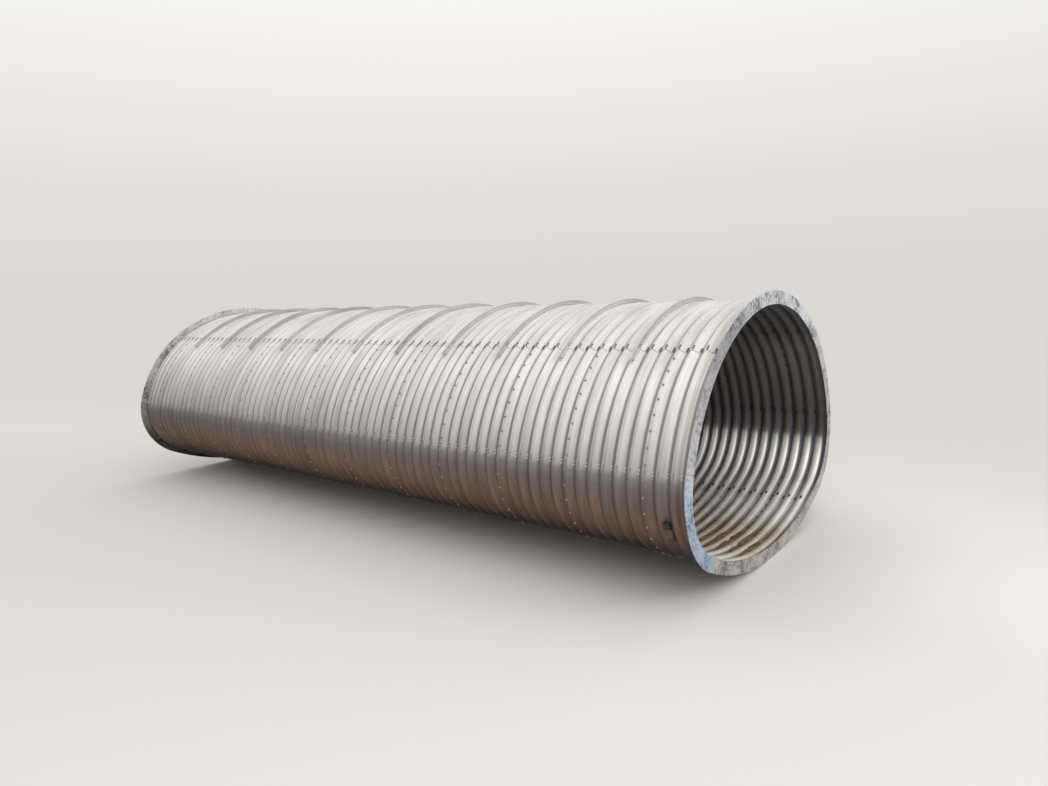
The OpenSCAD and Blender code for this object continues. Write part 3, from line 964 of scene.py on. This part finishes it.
# %% Soil in the invert's valleys
PATCHES = ((-0.90, 0.52), (-0.78, 0.80), (-0.80, 0.72), (-0.78, 0.64), (-0.96, 0.34), (-0.62, 0.02))
LUMP, LUMP_SPAN, LUMP_DRAWS = 0.008, 7, 60    # height, points that share a lump, draws for a patch
RIPPLE, RIPPLE_TURN = 0.004, 37               # height, radians to the metre
DENTS, DENT_WIDTH, DENT_DEPTH = {1: -0.30, 2: -0.05}, 0.16, 0.020
LONG_POINTS, ROW = 49, np.linspace(-1, 1, 7)
random = np.random.default_rng(5)
groove = R_INVERT + sheet_height(0, INNER_FACE)
verts, faces = [], []
for k, (left, right) in enumerate(PATCHES):
    y0 = -PLATES_LENGTH / 2 + (k + 1) * PITCH
    draws = random.normal(0, 1, LUMP_DRAWS)
    lumps = np.convolve(draws, np.ones(LUMP_SPAN) / LUMP_SPAN, "same")[:LONG_POINTS]
    ends = [C_INVERT.z - math.sqrt(groove ** 2 - x * x) for x in (left, right)]
    first_vert = len(verts)
    for x, lump in zip(np.linspace(left, right, LONG_POINTS), lumps):
        z = ends[0] + (ends[1] - ends[0]) * (x - left) / (right - left) + LUMP * lump
        if k in DENTS and abs(x - DENTS[k]) < DENT_WIDTH / 2:
            z -= DENT_DEPTH
        half = half_width(x, z)
        for top in (True, False):
            for s in ROW:
                below = C_INVERT.z - math.sqrt((R_INVERT + sheet_height(s * half, INNER_FACE)) ** 2 - x * x)
                ripple = RIPPLE * (1 - s * s) * math.sin(RIPPLE_TURN * x + 3 * k + 4 * s)
                on_top = top and abs(s) < 1
                verts.append((x, y0 + s * half, max(z + ripple, below) if on_top else below))
    n = len(ROW)
    for a in range(LONG_POINTS - 1):
        p, q = first_vert + a * 2 * n, first_vert + (a + 1) * 2 * n
        for b in range(n - 1):
            faces.append((p + b, q + b, q + b + 1, p + b + 1))
            faces.append((p + n + b, p + n + b + 1, q + n + b + 1, q + n + b))
soil_mesh = bpy.data.meshes.new("soil")
soil_mesh.from_pydata(verts, [], faces)
soil_mesh.polygons.foreach_set("use_smooth", [True] * len(faces))
soil = piece("soil_in_invert", soil_mesh)
print("soil made:", len(faces), "faces")

# %% [markdown]
# The soil is damp and sandy: brown clods about a decimetre wide that dry to tan, with a fine grit that
# gives the light something to catch on. Real grit is a millimetre or so; it is drawn six wide to show.

# %% Damp sandy soil
damp_soil, tree, shader = new_material("damp_sandy_soil")
place = add(tree, "ShaderNodeTexCoord").outputs["Object"]
clods = add(tree, "ShaderNodeTexNoise", {"Vector": place, "Scale": cells(111), "Detail": 10.0,
                                         "Roughness": 0.7})
grit = add(tree, "ShaderNodeTexNoise", {"Vector": place, "Scale": cells(6.25), "Detail": 2.0})
colour = add(tree, "ShaderNodeValToRGB", {0: clods},
             [(0.36, "#3e3225"), (0.5, "#69563f"), (0.66, "#927c5f")])
bump = add(tree, "ShaderNodeBump", {"Height": grit, "Strength": 0.5, "Distance": 0.004})
connect(tree, shader, {"Base Color": colour, "Roughness": 0.75, "Normal": bump})
soil_mesh.materials.append(damp_soil)
print("soil dressed")

# %% [markdown]
# The rings are aluminium too, but thicker and rolled from etched plate. The near ring's colour changes
# round the section, as on a clock: warm grey at the bottom, bluish on the left between two joints, and
# pale over the crown. The far ring is dark at the bottom, which is painted shade, and pale above.

# %% Colours round the end rings
RING_MIDDLE = 2.2    # height of the clock's centre
# turns from the bottom, by the left and over the top; the short dark stretch is a joint
NEAR_CLOCK = [
    (0.0, "#b4afab"), (0.1618, "#b4afab"), (0.1620, "#3c3d40"), (0.1634, "#3c3d40"), (0.1636, "#9badc4"),
    (0.2450, "#b6c3d3"), (0.2465, "#bebec2"), (0.3000, "#b2b1b4"), (0.3560, "#97979b"), (0.3990, "#9c9da1"),
    (0.4360, "#c8c9cd"), (0.6425, "#cecfd2"), (0.6440, "#c3c0be"), (0.7540, "#bdbbbb"), (0.8360, "#bab5b1"),
    (1.0, "#b4afab")]
# share of the full height
# the far ring's dark bottom is painted shade
FAR_HEIGHT = [(0.0, "#3e3c3b"), (0.28, "#6b6765"), (0.42, "#b0adaa"), (0.8, "#d2cfcc"), (1.0, "#e6e3e0")]
ring_metal, tree, shader = new_material("etched_aluminium_plate")
place = add(tree, "ShaderNodeTexCoord").outputs["Object"]
apart = add(tree, "ShaderNodeSeparateXYZ", {0: place})
above = add(tree, "ShaderNodeMath", {0: apart.outputs["Z"], 1: RING_MIDDLE}, operation="SUBTRACT")
round_it = add(tree, "ShaderNodeMath", {0: apart.outputs["X"], 1: above}, operation="ARCTAN2")
clock = add(tree, "ShaderNodeMapRange", {"Value": round_it, "From Min": -math.pi, "From Max": math.pi})
near_etch = add(tree, "ShaderNodeValToRGB", {0: clock}, NEAR_CLOCK)
share = add(tree, "ShaderNodeMapRange", {"Value": apart.outputs["Z"], "From Max": TOP})
far_etch_and_shade = add(tree, "ShaderNodeValToRGB", {0: share}, FAR_HEIGHT)
is_far = add(tree, "ShaderNodeMath", {0: apart.outputs["Y"], 1: 0.0}, operation="GREATER_THAN")
either = add(tree, "ShaderNodeMix", {"Factor": is_far, UNDER: near_etch, OVER: far_etch_and_shade}, **MIX)
print("ring colours made:", len(NEAR_CLOCK), "round the near one")

# %% [markdown]
# The etch has dried in patches, so both rings are mottled with pale blooms and dark streaks. The mottle
# is a few centimetres across and lies in larger blooms of a third of a metre, and it also breaks up
# the gloss.

# %% Mottled aluminium of the end rings
mottle = add(tree, "ShaderNodeTexNoise", {"Vector": place, "Scale": cells(66.7), "Detail": 8.0,
                                          "Roughness": 0.7})
bloom = add(tree, "ShaderNodeTexNoise", {"Vector": place, "Scale": cells(333), "Detail": 5.0})
mixed = add(tree, "ShaderNodeMath", {0: bloom, 1: 0.6, 2: mottle}, operation="MULTIPLY_ADD")
stains = add(tree, "ShaderNodeValToRGB", {0: mixed},
             [(0.58, "#66676e"), (0.70, "#a4a5aa"), (0.78, "#e2e2e4"), (0.90, "#ffffff")])
colour = add(tree, "ShaderNodeMix", {"Factor": 1.0, UNDER: either.outputs[MIXED], OVER: stains}, **TINT)
rough = add(tree, "ShaderNodeMapRange", {"Value": mottle, "From Min": 0.3, "From Max": 0.7,
                                         "To Min": 0.42, "To Max": 0.66})
bump = add(tree, "ShaderNodeBump", {"Height": mottle, "Strength": 0.2, "Distance": 0.003})
connect(tree, shader, {"Base Color": colour.outputs[MIXED], "Metallic": 0.5, "Roughness": rough,
                       "Normal": bump})
for name in ("near_end_ring", "far_end_ring"):
    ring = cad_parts[name]
    ring.data.materials.clear()
    ring.data.materials.append(ring_metal)
print("rings dressed")
